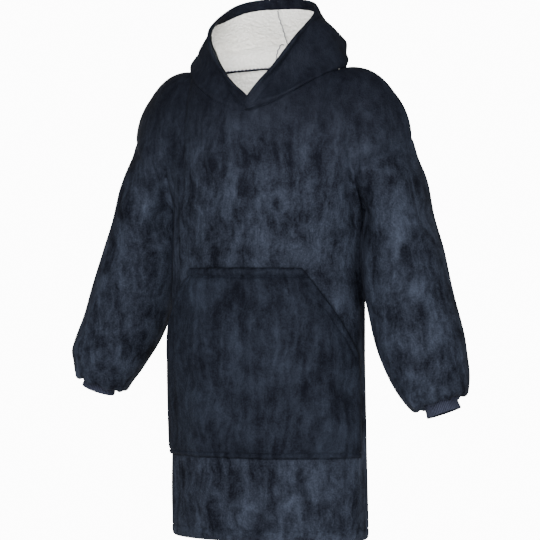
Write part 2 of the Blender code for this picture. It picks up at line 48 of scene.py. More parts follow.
HEM_Z = -0.900
UNDERARM_Z = -0.270
SIDE_SEAM_Y = 0.004
BODY_SECTIONS = (
    # z, half_width, front_depth, back_depth, shift_x
    (-0.900, 0.199, 0.121, 0.112, 0.004),
    (-0.745, 0.197, 0.124, 0.113, 0.002),
    (-0.560, 0.195, 0.126, 0.114, 0.000),
    (-0.384, 0.195, 0.125, 0.115, 0.000),
    (-0.270, 0.195, 0.120, 0.114, 0.000),
)
NECK_HALF_WIDTH = 0.150
NECK_SIDE_Y = 0.010
NECK_SIDE_Z = -0.002
NECK_FRONT = (-0.116, -0.084)
NECK_BACK = (0.055, 0.008)
NECK_DIP_POWER = 1.65
NECK_SHARE = 0.5
SHOULDER_TIP = Vector((0.291, 0.028, -0.135))
SHOULDER_CREST = 0.008
SHOULDER_SHIFT = -0.004
CREST_SHARE = 0.55
ARMHOLE_SWEEP = {"front": Vector((-0.0155, -0.084, 0.0105)),
                 "back": Vector((-0.0155, 0.076, 0.0105))}
CHEST_TURN = {"front": 35.0, "back": 52.0}
SHOULDER_TURN = 90.0
UNDERARM_V = 10.0 / 22.0
LOWER_LENGTH = 1.386
UPPER_LENGTH = 0.60
HALF_ROUND = 0.31
HEM_DEPTH = 0.017
SIDE_ALLOWANCE = 0.975
TOP_ALLOWANCE = 0.985
UNDERARM_PATCH = (0.82, 0.43, 0.66)
PANEL_FOLDS = {
    "front": (
        # u_start, v_start, u_end, v_end, width, height
        (0.97, 0.44, 0.80, 0.66, 0.060, 0.007),
        (0.93, 0.40, 0.70, 0.56, 0.060, -0.004),
        (-0.97, 0.44, -0.80, 0.69, 0.060, 0.006),
        (-0.93, 0.40, -0.70, 0.52, 0.060, -0.004),
        (0.80, 0.01, 0.88, 0.27, 0.060, 0.004),
        (-0.30, 0.01, -0.22, 0.11, 0.080, 0.004),
        (0.34, 0.01, 0.28, 0.11, 0.080, -0.004),
        (-0.72, 0.01, -0.66, 0.11, 0.070, 0.004),
        (0.90, 0.47, 0.66, 0.72, 0.028, 0.004),
        (0.84, 0.45, 0.62, 0.64, 0.024, -0.003),
        (-0.90, 0.47, -0.68, 0.73, 0.028, 0.004),
        (-0.86, 0.44, -0.70, 0.60, 0.024, -0.003),
        (0.10, 0.42, 0.16, 0.74, 0.050, 0.003),
        (-0.20, 0.40, -0.26, 0.70, 0.045, -0.003),
        (0.42, 0.34, 0.47, 0.60, 0.040, 0.003),
        (-0.52, 0.30, -0.56, 0.58, 0.040, 0.003),
    ),
    "back": (
        # u_start, v_start, u_end, v_end, width, height
        (0.97, 0.44, 0.72, 0.72, 0.060, 0.007),
        (-0.97, 0.43, -0.74, 0.66, 0.060, 0.006),
        (-0.42, 0.01, -0.30, 0.40, 0.110, 0.006),
        (0.10, 0.01, 0.04, 0.33, 0.100, -0.005),
        (0.52, 0.01, 0.40, 0.37, 0.110, 0.006),
        (-0.80, 0.01, -0.72, 0.29, 0.080, 0.005),
        (0.92, 0.47, 0.60, 0.66, 0.026, 0.004),
        (-0.90, 0.46, -0.62, 0.70, 0.026, 0.004),
        (0.22, 0.44, 0.12, 0.70, 0.045, 0.003),
        (-0.16, 0.40, -0.10, 0.64, 0.045, -0.003),
    ),
}
NAVY_DARK = (0.0021, 0.0028, 0.0060)
NAVY_LIGHT = (0.038, 0.047, 0.070)
# Painted shade: above the chest the plush is darkened towards the shoulders and hood, partly because
# the cloth there faces up, away from the lights, and partly because the pile stands up there.
TOP_SHADE_AND_PILE_Z = (-0.26, -0.06)
TOP_SHADE_AND_PILE_SHARE = 0.80
CREAM = (0.96, 0.955, 0.925)
CREAM_DEEP = (0.80, 0.785, 0.74)


def smooth(value):
    """A soft step from 0 to 1."""
    value = min(max(value, 0.0), 1.0)
    return value * value * (3.0 - 2.0 * value)


def through(points, share):
    """The place at a share, 0 to 1, of a smooth curve that runs through the points."""
    span = share * (len(points) - 1)
    index = min(max(int(span), 0), len(points) - 2)
    t = span - index
    here, after = points[index], points[index + 1]
    before = points[index - 1] if index > 0 else here * 2.0 - after
    beyond = points[index + 2] if index + 2 < len(points) else after * 2.0 - here
    return 0.5 * (here * 2.0 + (after - before) * t
                  + (before * 2.0 - here * 5.0 + after * 4.0 - beyond) * t ** 2
                  + (here * 3.0 - before - after * 3.0 + beyond) * t ** 3)


def fold_height(folds, u, v):
    """How far the folds in a table lift the cloth at one place of its pattern."""
    height = 0.0
    for u_start, v_start, u_end, v_end, width, lift in folds:
        run_u, run_v = u_end - u_start, v_end - v_start
        at_u, at_v = u - u_start, v - v_start
        along = (at_u * run_u + at_v * run_v) / (run_u * run_u + run_v * run_v)
        along = min(max(along, 0.0), 1.0)
        away = ((at_u - run_u * along) ** 2 + (at_v - run_v * along) ** 2) / width ** 2
        if away < 9.0:
            height += lift * math.sin(math.pi * (0.12 + 0.76 * along)) * math.exp(-away)
    return height


def stations(low, high, count, marks=(), fine=0.001):
    """Even places from low to high, with close ones added on both sides of each mark."""
    places = [low + (high - low) * number / count for number in range(count + 1)]
    near = [mark + fine * step for mark in marks for step in (-5, -3, -2, -1, 0, 1, 2, 3, 5)]
    near = [place for place in near if low < place < high]
    kept = [place for place in places
            if place in (low, high) or all(abs(place - other) > 1.6 * fine for other in near)]
    return sorted(kept + near)


def rolled(distance):
    """Height of the pile over its backing at a distance from a sewn or turned edge."""
    return PILE * (1.0 - math.exp(-(max(distance, 0.0) / SEAM_ROLL) ** 2))


def stitched(distance, depth=0.0016, width=0.0016):
    """Dent that a row of stitches presses into the pile."""
    return -depth * math.exp(-(distance / width) ** 2)


def cut_cloth(name, columns, rows, place, relief, outward=1.0, tube=False):
    """A sheet of cloth: a flat grid bent on to a surface, then lifted by its relief."""
    cloth = bmesh.new()
    bmesh.ops.create_grid(cloth, x_segments=len(columns) - 1, y_segments=len(rows) - 1, size=0.5)
    spot = cloth.verts.layers.float_vector.new("spot")
    cut = cloth.loops.layers.uv.new("cut")
    for vert in cloth.verts:
        u = columns[round((vert.co.x + 0.5) * (len(columns) - 1))]
        v = rows[round((vert.co.y + 0.5) * (len(rows) - 1))]
        vert[spot] = (u, v, 0.0)
        vert.co = place(u, v)
    for face in cloth.faces:
        for loop in face.loops:
            loop[cut].uv = loop.vert[spot][:2]
    if tube:
        bmesh.ops.remove_doubles(cloth, verts=cloth.verts[:], dist=1e-6)
    if outward < 0.0:
        bmesh.ops.reverse_faces(cloth, faces=cloth.faces[:])
    cloth.normal_update()
    moves = [(vert, vert.normal * relief(*vert[spot][:2])) for vert in cloth.verts]
    for vert, move in moves:
        vert.co += move
    mesh = bpy.data.meshes.new(name)
    cloth.to_mesh(mesh)
    cloth.free()
    mesh.shade_smooth()
    piece = bpy.data.objects.new(name, mesh)
    bpy.context.collection.objects.link(piece)
    return piece


def line_cloth(piece, wall, outside, inside, in_seam=None):
    """Give a sheet its wall, with one finish outside and another inside, out to its seams."""
    for finish in (outside, inside, outside, outside):
        piece.data.materials.append(finish)
    spots = piece.data.uv_layers["cut"].uv
    for face in piece.data.polygons:
        if in_seam and any(in_seam(*spots[loop].vector) for loop in face.loop_indices):
            face.material_index = 2
    solid = piece.modifiers.new("wall", "SOLIDIFY")
    solid.thickness = wall
    solid.offset = -1.0
    solid.material_offset = 1
    solid.material_offset_rim = 0


def section_at(z):
    """Half width, front depth, back depth and shift of the body at one height."""
    rows = BODY_SECTIONS
    index = 0
    while index < len(rows) - 2 and z > rows[index + 1][0]:
        index += 1
    low, high = rows[index], rows[index + 1]
    share = (z - low[0]) / (high[0] - low[0])
    return [a + (b - a) * share for a, b in zip(low[1:], high[1:])]


def body_ring(panel, u, z):
    """Point on the level section below the arms, u from one side seam to the other."""
    half_width, front_depth, back_depth, shift_x = section_at(z)
    angle = math.radians(90.0 * u)
    depth = -(front_depth + SIDE_SEAM_Y) if panel == "front" else back_depth - SIDE_SEAM_Y
    return Vector((shift_x + half_width * math.sin(angle),
                   SIDE_SEAM_Y + depth * math.cos(angle), z))


def neckline(panel, angle):
    """Neck seam: angle 0 is the centre of the panel and 90 degrees is the shoulder."""
    middle_y, middle_z = NECK_FRONT if panel == "front" else NECK_BACK
    dip = 1.0 - min(math.sin(abs(angle)), 1.0) ** NECK_DIP_POWER
    return Vector((NECK_HALF_WIDTH * math.sin(angle),
                   NECK_SIDE_Y + (middle_y - NECK_SIDE_Y) * math.cos(angle),
                   NECK_SIDE_Z + (middle_z - NECK_SIDE_Z) * dip))


def top_edge(panel, u):
    """Neckline to the neck share of the pattern, then the shoulder seam to its tip."""
    if abs(u) <= NECK_SHARE:
        return neckline(panel, math.radians(90.0 * u / NECK_SHARE))
    share = (abs(u) - NECK_SHARE) / (1.0 - NECK_SHARE)
    turn = math.radians(90.0 * share)
    x = NECK_HALF_WIDTH + (SHOULDER_TIP.x - NECK_HALF_WIDTH) * math.sin(turn)
    y = NECK_SIDE_Y + (SHOULDER_TIP.y - NECK_SIDE_Y) * share
    z = NECK_SIDE_Z + (SHOULDER_TIP.z - NECK_SIDE_Z) * (1.0 - math.cos(turn))
    z += SHOULDER_CREST * math.sin(math.pi * min(share / CREST_SHARE, 1.0))
    return Vector((math.copysign(x, u) + SHOULDER_SHIFT * share, y, z))


def armhole(panel, side, share):
    """Armhole seam on one panel, from the underarm to the shoulder tip."""
    start = body_ring(panel, side, UNDERARM_Z)
    tip = Vector((side * SHOULDER_TIP.x + SHOULDER_SHIFT, SHOULDER_TIP.y, SHOULDER_TIP.z))
    sweep = ARMHOLE_SWEEP[panel]
    sweep = Vector((side * sweep.x, sweep.y, sweep.z))
    return start.lerp(tip, share) + sweep * math.sin(math.pi * share)


def rise(low, top, share, turn):
    """Go from low to top on an arc that starts upright and leans over by turn."""
    flat = (1.0 - math.cos(share * turn)) / (1.0 - math.cos(turn))
    upright = math.sin(share * turn) / math.sin(turn)
    return Vector((low.x + (top.x - low.x) * share,
                   low.y + (top.y - low.y) * flat,
                   low.z + (top.z - low.z) * upright))


def body_place(panel, u, v):
    """Place on the front or back: u across, v from the hem to the shoulder."""
    if v < 0.0:
        return turned_hem(panel, u, -v * LOWER_LENGTH)
    if v <= UNDERARM_V:
        return body_ring(panel, u, HEM_Z + (UNDERARM_Z - HEM_Z) * v / UNDERARM_V)
    share = (v - UNDERARM_V) / (1.0 - UNDERARM_V)
    side = math.copysign(1.0, u)
    lean = smooth(abs(u) / NECK_SHARE)
    turn = math.radians(CHEST_TURN[panel] + (SHOULDER_TURN - CHEST_TURN[panel]) * lean)
    point = rise(body_ring(panel, u, UNDERARM_Z), top_edge(panel, u), share, turn)
    corner = rise(body_ring(panel, side, UNDERARM_Z), top_edge(panel, side),
                  share, math.radians(SHOULDER_TURN))
    return point + (armhole(panel, side, share) - corner) * abs(u) ** 3


def turned_hem(panel, u, past):
    """The bottom edge rolls under on a small arc and runs back up inside."""
    radius = PLUSH_WALL + 0.0005
    edge = body_ring(panel, u, HEM_Z)
    inward = Vector((-math.sin(math.radians(90.0 * u)), 0.0, 0.0))
    inward.y = math.cos(math.radians(90.0 * u)) * (1.0 if panel == "front" else -1.0)
    angle = min(past / radius, math.pi)
    back = max(past - radius * math.pi, 0.0)
    return edge + inward * radius * (1.0 - math.cos(angle)) + Vector(
        (0.0, 0.0, back - radius * math.sin(angle)))


def body_relief(panel, u, v):
    """Folds, pile and stitches of a body panel."""
    side = (1.0 - abs(u)) * HALF_ROUND
    if v < 0.0:
        return 0.0
    if v > UNDERARM_V:
        top = (1.0 - v) * UPPER_LENGTH
        hem = 1.0
    else:
        top = 1.0
        hem = v * LOWER_LENGTH
    height = fold_height(PANEL_FOLDS[panel], u, v) * smooth((1.0 - abs(u)) * 10.0)
    height *= smooth(top / 0.03)
    height += rolled(min(side, top, hem + 0.003))
    return height + stitched(hem - HEM_DEPTH)


def in_body_seam(u, v):
    """Whether a panel's inside is seam allowance: at its sides, its top and the underarms."""
    underarm = abs(u) > UNDERARM_PATCH[0] and UNDERARM_PATCH[1] < v < UNDERARM_PATCH[2]
    return abs(u) > SIDE_ALLOWANCE or v > TOP_ALLOWANCE or underarm


class Dye:
    """A socket in a cloth's finish, which sums and products can be written with."""

    def __init__(self, tree, socket=None):
        self.tree = tree
        self.socket = socket

    def node(self, kind, settings, sockets, output=0):
        """Any node, from its type, its settings and the values or links of its sockets."""
        made = self.tree.nodes.new("ShaderNode" + kind)
        for name, value in settings.items():
            setattr(made, name, value)
        for name, value in sockets.items():
            if isinstance(value, Dye):
                self.tree.links.new(value.socket, made.inputs[name])
            else:
                made.inputs[name].default_value = value
        return Dye(self.tree, made.outputs[output])

    def sum_with(self, operation, first, second):
        return self.node("Math", {"operation": operation}, {0: first, 1: second})

    def __add__(self, other):
        return self.sum_with("ADD", self, other)

    def __radd__(self, other):
        return self.sum_with("ADD", other, self)

    def __sub__(self, other):
        return self.sum_with("SUBTRACT", self, other)

    def __rsub__(self, other):
        return self.sum_with("SUBTRACT", other, self)

    def __mul__(self, other):
        return self.sum_with("MULTIPLY", self, other)

    def __rmul__(self, other):
        return self.sum_with("MULTIPLY", other, self)

    def __pow__(self, other):
        return self.sum_with("POWER", self, other)


def new_finish(name, roughness):
    """A material, a Dye to write it with, and its shader."""
    material = bpy.data.materials.new(name)
    material.use_nodes = True
    tree = material.node_tree
    shader = tree.nodes["Principled BSDF"]
    shader.inputs["Roughness"].default_value = roughness
    return material, Dye(tree), shader


def feed(dye, shader, **values):
    """Link worked-out values to the shader's sockets, named with underscores for spaces."""
    for name, value in values.items():
        dye.tree.links.new(value.socket, shader.inputs[name.replace("_", " ")])


def plush_finish(name, lightest):
    """Crushed plush: pale patches where the pile lies flat, and painted shade that darkens it
    towards the shoulders and hood, where the pile also stands.
    """
    material, dye, shader = new_finish(name, 0.75)
    place = dye.node("TexCoord", {}, {}, 3)
    drift = dye.node("TexNoise", {}, {"Vector": place, "Scale": 12.0, "Detail": 2.0}, 1)
    drift = dye.node("VectorMath", {"operation": "SCALE"}, {0: drift, "Scale": 0.045})
    bent = dye.node("VectorMath", {"operation": "ADD"}, {0: place, 1: drift})
    hang = dye.node("Mapping", {}, {"Vector": bent, "Scale": (1.0, 1.0, 0.70)})
    brushed = dye.node("Mapping", {}, {"Vector": bent, "Scale": (1.0, 1.0, 0.14)})
    patches = dye.node("TexNoise", {}, {"Vector": hang, "Scale": 24.0, "Detail": 8.0,
                                        "Roughness": 0.74})
    broad = dye.node("TexNoise", {}, {"Vector": hang, "Scale": 5.0, "Detail": 2.0})
    streaks = dye.node("TexNoise", {}, {"Vector": brushed, "Scale": 75.0, "Detail": 4.0})
    grain = dye.node("TexNoise", {}, {"Vector": place, "Scale": 320.0, "Detail": 3.0})
    lie = patches * 0.50 + broad * 0.10 + streaks * 0.24 + grain * 0.16
    flat = dye.node("MapRange", {}, {"Value": lie, "From Min": 0.40, "From Max": 0.64})
    # Painted shade on the upper body and hood: the plush darkens with height, partly because less
    # light falls there and partly because the pile stands up.
    high = dye.node("SeparateXYZ", {}, {"Vector": place}, 2)
    top_shade_and_pile = dye.node("MapRange", {}, {"Value": high, "From Min": TOP_SHADE_AND_PILE_Z[0],
                                         "From Max": TOP_SHADE_AND_PILE_Z[1]})
    pale = flat ** 1.3 * (1.0 - top_shade_and_pile * TOP_SHADE_AND_PILE_SHARE)
    colour = dye.node("Mix", {"data_type": "RGBA"},
                      {0: pale, 6: (*NAVY_DARK, 1.0), 7: (*lightest, 1.0)}, 2)
    height = grain * 0.5 + streaks * 1.1 + patches * 2.2
    bump = dye.node("Bump", {}, {"Height": height, "Strength": 0.60, "Distance": 0.004})
    feed(dye, shader, Base_Color=colour, Roughness=0.86 - flat * 0.20, Normal=bump)
    shader.inputs["Specular IOR Level"].default_value = 0.08
    return material


def sherpa_finish():
    """Curly cream pile: small tufts with shade between them."""
    material, dye, shader = new_finish("cream sherpa", 0.95)
    place = dye.node("TexCoord", {}, {}, 3)
    tufts = dye.node("TexVoronoi", {"feature": "SMOOTH_F1"},
                     {"Vector": place, "Scale": 190.0, "Smoothness": 0.6, "Randomness": 1.0})
    curl = dye.node("TexNoise", {}, {"Vector": place, "Scale": 420.0, "Detail": 3.0})
    soft = dye.node("TexNoise", {}, {"Vector": place, "Scale": 30.0, "Detail": 2.0})
    shade = dye.node("MapRange", {}, {"Value": tufts * 0.8 + curl * 0.3 + soft * 0.2,
                                      "From Min": 0.25, "From Max": 0.95})
    colour = dye.node("Mix", {"data_type": "RGBA"},
                      {0: shade, 6: (*CREAM, 1.0), 7: (*CREAM_DEEP, 1.0)}, 2)
    bump = dye.node("Bump", {}, {"Height": curl * 0.6 - tufts * 1.4, "Strength": 0.6,
                                 "Distance": 0.003})
    feed(dye, shader, Base_Color=colour, Normal=bump)
    shader.inputs["Specular IOR Level"].default_value = 0.15
    return material


PLUSH = plush_finish("crushed plush", NAVY_LIGHT)
SHERPA = sherpa_finish()
HEM_ALLOWANCE = 0.030
HEM_ROW_SHARES = (1.0, 0.8, 0.6, 0.45, 0.33, 0.27, 0.20, 0.13, 0.06)
HEM_TURN = [-HEM_ALLOWANCE / LOWER_LENGTH * share for share in HEM_ROW_SHARES]
BODY_COLUMNS = stations(-1.0, 1.0, 150, (-0.99, 0.99), 0.004)
BODY_ROWS = HEM_TURN + stations(0.0, UNDERARM_V, 84, (HEM_DEPTH / LOWER_LENGTH,),
                                0.001 / LOWER_LENGTH)
BODY_ROWS += stations(UNDERARM_V, 1.0, 66, (0.997,), 0.002)[1:]
for panel, facing, cut_size, cut_area in (("front", 1.0, (0.80, 1.02), 0.66),
                                          ("back", -1.0, (0.80, 1.02), 0.68)):
    cloth = cut_cloth(panel + "_plush", BODY_COLUMNS, BODY_ROWS,
                      functools.partial(body_place, panel),
                      functools.partial(body_relief, panel), facing)
    line_cloth(cloth, PLUSH_WALL, PLUSH, SHERPA, in_body_seam)
    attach(cloth, "root")
    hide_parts(panel)

# Back neck lining
# A yoke of sherpa inside the back of the neck, which shows below the hood's lining. It is
# sewn into the neck seam and lies on the inside of the back.
LINING_WALL = 0.0024
NECK_LINING_SHARE = 4.0 / 22.0


def frame_of(place, outward):
    """A function that gives a surface's place and its outward normal at (u, v)."""
    step = 0.0005

    def framed(u, v):
        across = place(u + step, v) - place(u - step, v)
        along = place(u, v + step) - place(u, v - step)
        return place(u, v), across.cross(along).normalized() * outward
    return framed


def tufted(point, size, height):
    """Height of curly tufts at a point of the sherpa."""
    cell = noise.voronoi(point / size)[0]
    return height * (1.0 - min(cell[0] * 1.1, 1.0))


back_frame = frame_of(functools.partial(body_place, "back"), -1.0)


def neck_lining_place(u, v):
    point, normal = back_frame(u, min(v, 0.9995))
    return point + normal * (body_relief("back", u, v) - PLUSH_WALL - 0.0006 - LINING_WALL)


neck_lining = cut_cloth(
    "back_neck_lining_sherpa", stations(-NECK_SHARE, NECK_SHARE, 110),
    stations(1.0 - NECK_LINING_SHARE, 1.0, 40), neck_lining_place,
    lambda u, v: tufted(neck_lining_place(u, v), 0.006, 0.0016), 1.0)
neck_lining.data.materials.append(SHERPA)
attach(neck_lining, "root")
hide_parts("back_neck_lining")

# Sleeves
# Two very wide sleeves of the same plush, set into the dropped armholes and gathered to
# the wrists. Each is one piece, sewn into a tube under the arm.
SLEEVE_SECTIONS = {
    "left": (
        # x, y, z, half_width, half_depth, tilt_degrees
        (0.258, 0.028, -0.243, 0.062, 0.081, 38.0),
        (0.262, 0.027, -0.315, 0.070, 0.086, 25.0),
        (0.273, 0.022, -0.385, 0.080, 0.088, 18.0),
        (0.291, 0.015, -0.455, 0.082, 0.085, 17.0),
        (0.3095, 0.008, -0.515, 0.083, 0.080, 17.5),
        (0.330, 0.000, -0.570, 0.077, 0.072, 19.0),
        (0.347, -0.006, -0.610, 0.067, 0.064, 20.0),
        (0.357, -0.009, -0.635, 0.053, 0.052, 20.0),
    ),
    "right": (
        # x, y, z, half_width, half_depth, tilt_degrees
        (0.261, 0.028, -0.243, 0.063, 0.081, 38.0),
        (0.267, 0.027, -0.313, 0.070, 0.085, 25.0),
        (0.281, 0.022, -0.378, 0.079, 0.086, 19.0),
        (0.298, 0.015, -0.442, 0.082, 0.082, 18.0),
        (0.315, 0.008, -0.498, 0.080, 0.076, 18.0),
        (0.338, 0.000, -0.548, 0.074, 0.070, 19.0),
        (0.351, -0.006, -0.586, 0.062, 0.062, 20.0),
        (0.356, -0.009, -0.609, 0.051, 0.051, 20.0),
    ),
}
WRIST_TUCK = {"left": 0.002, "right": 0.008}
WRIST_RADIUS = 0.0357
SLEEVE_LENGTH = 0.46
SLEEVE_TUCK = 0.0006
WRIST_GATHERS = (
    # u, half_width, height, reach
    (0.03, 0.016, 0.0030, 0.075), (0.09, 0.013, -0.0030, 0.060), (0.14, 0.015, 0.0036, 0.090),
    (0.20, 0.012, -0.0036, 0.100), (0.25, 0.016, 0.0032, 0.065), (0.31, 0.013, -0.0030, 0.080),
    (0.36, 0.015, 0.0040, 0.110), (0.42, 0.012, -0.0030, 0.060), (0.47, 0.014, 0.0030, 0.080),
    (0.53, 0.013, -0.0034, 0.090), (0.58, 0.016, 0.0034, 0.065), (0.64, 0.012, -0.0030, 0.085),
    (0.69, 0.015, 0.0038, 0.095), (0.75, 0.013, -0.0034, 0.060), (0.80, 0.014, 0.0030, 0.085),
    (0.86, 0.012, -0.0030, 0.070), (0.92, 0.016, 0.0034, 0.090), (0.97, 0.012, -0.0028, 0.060),
)
SLEEVE_FOLDS = (
    # u_start, v_start, u_end, v_end, width, height
    (0.12, 0.05, 0.34, 0.22, 0.050, 0.006),
    (0.10, 0.16, 0.30, 0.34, 0.050, -0.005),
    (0.20, 0.62, 0.44, 0.74, 0.045, 0.006),
    (0.12, 0.74, 0.38, 0.80, 0.040, -0.005),
    (0.60, 0.60, 0.88, 0.72, 0.050, 0.006),
    (0.58, 0.30, 0.86, 0.42, 0.060, 0.005),
    (0.06, 0.02, 0.22, 0.16, 0.022, 0.004),
    (0.34, 0.06, 0.42, 0.30, 0.024, 0.003),
    (0.22, 0.36, 0.36, 0.52, 0.030, 0.004),
    (0.10, 0.44, 0.26, 0.56, 0.028, -0.003),
    (0.66, 0.10, 0.84, 0.24, 0.030, 0.004),
    (0.92, 0.06, 0.84, 0.24, 0.024, 0.004),
    (0.70, 0.46, 0.90, 0.56, 0.030, -0.003),
    (0.02, 0.06, 0.06, 0.26, 0.050, 0.011),
    (0.98, 0.06, 0.95, 0.24, 0.050, 0.009),
)


def sleeve_place(side_name, u, v):
    """Place on a sleeve: u round it from the underarm by the front, v down it."""
    side = 1.0 if side_name == "left" else -1.0
    around = u % 1.0
    panel = "front" if around <= 0.5 else "back"
    rings = [armhole(panel, side, 2.0 * around if around <= 0.5 else 2.0 - 2.0 * around)]
    angle = math.pi - 2.0 * math.pi * around
    for x, y, z, half_width, half_depth, tilt in SLEEVE_SECTIONS[side_name]:
        lean = math.radians(tilt)
        out = half_width * math.cos(angle)
        rings.append(Vector((side * (x + out * math.cos(lean)),
                             y - half_depth * math.sin(angle), z + out * math.sin(lean))))
    rings.append(wrist_ring(side_name, WRIST_RADIUS, u, 0.0))
    start = -SLEEVE_TUCK / (rings[1] - rings[0]).length / (len(rings) - 1)
    return through(rings, start + v * (1.0 - start))


def wrist_ring(side_name, radius, u, down):
    """Point on a ring round the wrist, so far down from the end of the sleeve."""
    side = 1.0 if side_name == "left" else -1.0
    x, y, z, _, _, tilt = SLEEVE_SECTIONS[side_name][-1]
    lean = math.radians(tilt)
    direction = Vector((side * math.sin(lean), 0.0, -math.cos(lean)))
    centre = Vector((side * x, y, z)) + direction * (down - WRIST_TUCK[side_name])
    angle = math.pi - 2.0 * math.pi * u
    across = Vector((side * math.cos(lean), 0.0, math.sin(lean)))
    return centre + across * radius * math.cos(angle) - Vector((0, radius * math.sin(angle), 0))


def sleeve_relief(u, v):
    """Folds, wrist gathers and pile of a sleeve."""
    height = fold_height(SLEEVE_FOLDS, u % 1.0, v) * smooth(v * 8.0) * smooth((1.0 - v) * 8.0)
    for at, half_width, lift, reach in WRIST_GATHERS:
        away = min(abs(u % 1.0 - at), 1.0 - abs(u % 1.0 - at))
        if away < 3.0 * half_width:
            ridge = lift * math.exp(-(away / half_width) ** 2 - ((v - 0.93) / reach) ** 2)
            height += ridge * smooth((1.0 - v) * 25.0)
    return height + rolled(min(v, 1.0 - v) * SLEEVE_LENGTH)


SLEEVE_COLUMNS = stations(0.0, 1.0, 132)
SLEEVE_ROWS = stations(0.0, 1.0, 96, (0.006, 0.994), 0.002)
for side_name, outward in (("left", -1.0), ("right", 1.0)):
    cloth = cut_cloth("sleeve_plush_" + side_name, SLEEVE_COLUMNS, SLEEVE_ROWS,
                      functools.partial(sleeve_place, side_name), sleeve_relief, outward, True)
    line_cloth(cloth, PLUSH_WALL, PLUSH, SHERPA, lambda u, v: v < 0.02 or v > 0.985)
    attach(cloth, "root")
    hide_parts("sleeve_" + side_name)

# Cuffs
# A short tube of rib knit at each wrist, doubled over and sewn to the gathered sleeve. Its
# ribs run along the arm.
CUFF_WALL = 0.0032
CUFF_RADIUS = 0.0345
CUFF_LENGTH = 0.030
CUFF_WAIST = 0.0018
CUFF_RIBS = 60
CUFF_RIB_HEIGHT = 0.0007
RIB_DARK = (0.008, 0.009, 0.017)
RIB_LIGHT = (0.040, 0.046, 0.076)


def rib_finish():
    """Fine rib knit: stitches in columns along each rib, with painted shade between the ribs."""
    material, dye, shader = new_finish("navy rib knit", 0.9)
    cut = dye.node("UVMap", {"uv_map": "cut"}, {})
    parts = dye.node("SeparateXYZ", {}, {"Vector": cut})
    around = Dye(dye.tree, parts.socket.node.outputs[0])
    down = Dye(dye.tree, parts.socket.node.outputs[1])
    rib = dye.node("Math", {"operation": "COSINE"}, {0: around * (2.0 * math.pi * CUFF_RIBS)})
    loop = dye.node("Math", {"operation": "SINE"}, {0: down * 150.0 + rib * 1.2})
    place = dye.node("TexCoord", {}, {}, 3)
    fluff = dye.node("TexNoise", {}, {"Vector": place, "Scale": 300.0, "Detail": 3.0})
    # The rib term paints the crests lighter and the valleys between the ribs darker, which is
    # painted shade. The stitches and fluff are the knit's own tone.
    shade = dye.node("MapRange", {}, {"Value": rib * 0.30 + loop * 0.10 + fluff * 0.6,
                                      "From Min": -0.05, "From Max": 0.70})
    colour = dye.node("Mix", {"data_type": "RGBA"},
                      {0: shade, 6: (*RIB_DARK, 1.0), 7: (*RIB_LIGHT, 1.0)}, 2)
    bump = dye.node("Bump", {}, {"Height": loop * 0.4 + fluff, "Strength": 0.5,
                                 "Distance": 0.0008})
    feed(dye, shader, Base_Color=colour, Normal=bump)
    shader.inputs["Specular IOR Level"].default_value = 0.2
    return material


RIB = rib_finish()


def cuff_place(side_name, u, v):
    """Place on a cuff: v down it from inside the sleeve's end to its own turned edge."""
    waist = CUFF_WAIST * math.sin(math.pi * min(max(v, 0.0), 1.0))
    return wrist_ring(side_name, CUFF_RADIUS - waist, u, CUFF_LENGTH * v - PLUSH_WALL)


def cuff_relief(u, v):
    """Ribs, which flatten where the cuff turns over at its end."""
    rib = 0.5 + 0.5 * math.cos(2.0 * math.pi * CUFF_RIBS * u)
    return CUFF_RIB_HEIGHT * (rib - 1.0) * smooth((1.0 - v) * 10.0) - 0.0010 * smooth(
        (v - 0.90) * 10.0)


for side_name, outward in (("left", -1.0), ("right", 1.0)):
    cloth = cut_cloth("cuff_rib_" + side_name, stations(0.0, 1.0, CUFF_RIBS * 6),
                      stations(0.0, 1.0, 14), functools.partial(cuff_place, side_name),
                      cuff_relief, outward, True)
    line_cloth(cloth, CUFF_WALL, RIB, RIB)
    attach(cloth, "root")
    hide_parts("cuff_" + side_name)

# Hood
# Two halves of plush joined by a seam over the middle, sewn round the neckline so that the
# front ends cross in a V. The rim is turned in as a navy hem and stitched.
HOOD_WALL = 0.0022
SEAM_GAP = 0.0003
HOOD_TUCK = 0.0010
HOOD_RINGS = (
    # name, share, back (y, z), quarter (x, y, z), side (x, y, z)
    ("stand", 0.09, (0.053, 0.030), (0.114, 0.044, 0.023), (0.161, 0.012, 0.013)),
    ("roll", 0.18, (0.076, 0.048), (0.118, 0.056, 0.034), (0.153, 0.016, 0.028)),
    ("under", 0.30, (0.101, 0.004), (0.118, 0.072, 0.041), (0.146, 0.018, 0.038)),
    ("pouch_in", 0.42, (0.112, -0.080), (0.112, 0.091, 0.043), (0.143, 0.018, 0.047)),
    ("pouch_out", 0.54, (0.152, -0.086), (0.101, 0.099, 0.052), (0.138, 0.016, 0.056)),
    ("back", 0.67, (0.162, -0.018), (0.094, 0.093, 0.068), (0.133, 0.012, 0.065)),
    ("crown", 0.80, (0.114, 0.054), (0.093, 0.080, 0.085), (0.122, 0.002, 0.078)),
    ("brow", 0.92, (0.070, 0.103), (0.092, 0.057, 0.103), (0.108, -0.024, 0.085)),
)
HOOD_RIM = (
    # x, y, z, from the front end up and over to the centre seam
    (0.000, -0.116, -0.069),
    (0.032, -0.109, -0.033),
    (0.060, -0.102, 0.001),
    (0.082, -0.092, 0.033),
    (0.095, -0.073, 0.060),
    (0.101, -0.045, 0.083),
    (0.101, 0.000, 0.107),
    (0.084, 0.038, 0.130),
    (0.045, 0.047, 0.140),
    (0.000, 0.047, 0.141),
)
HOOD_HEM = 0.020
HOOD_HEM_MOST = 0.72
NECK_RIDGE = 0.0020
HOOD_LAP_FROM = 0.86
HOOD_LAP = {
    # side: x, z
    "left": (-0.006, 0.0),
    "right": (0.010, 0.0020),
}
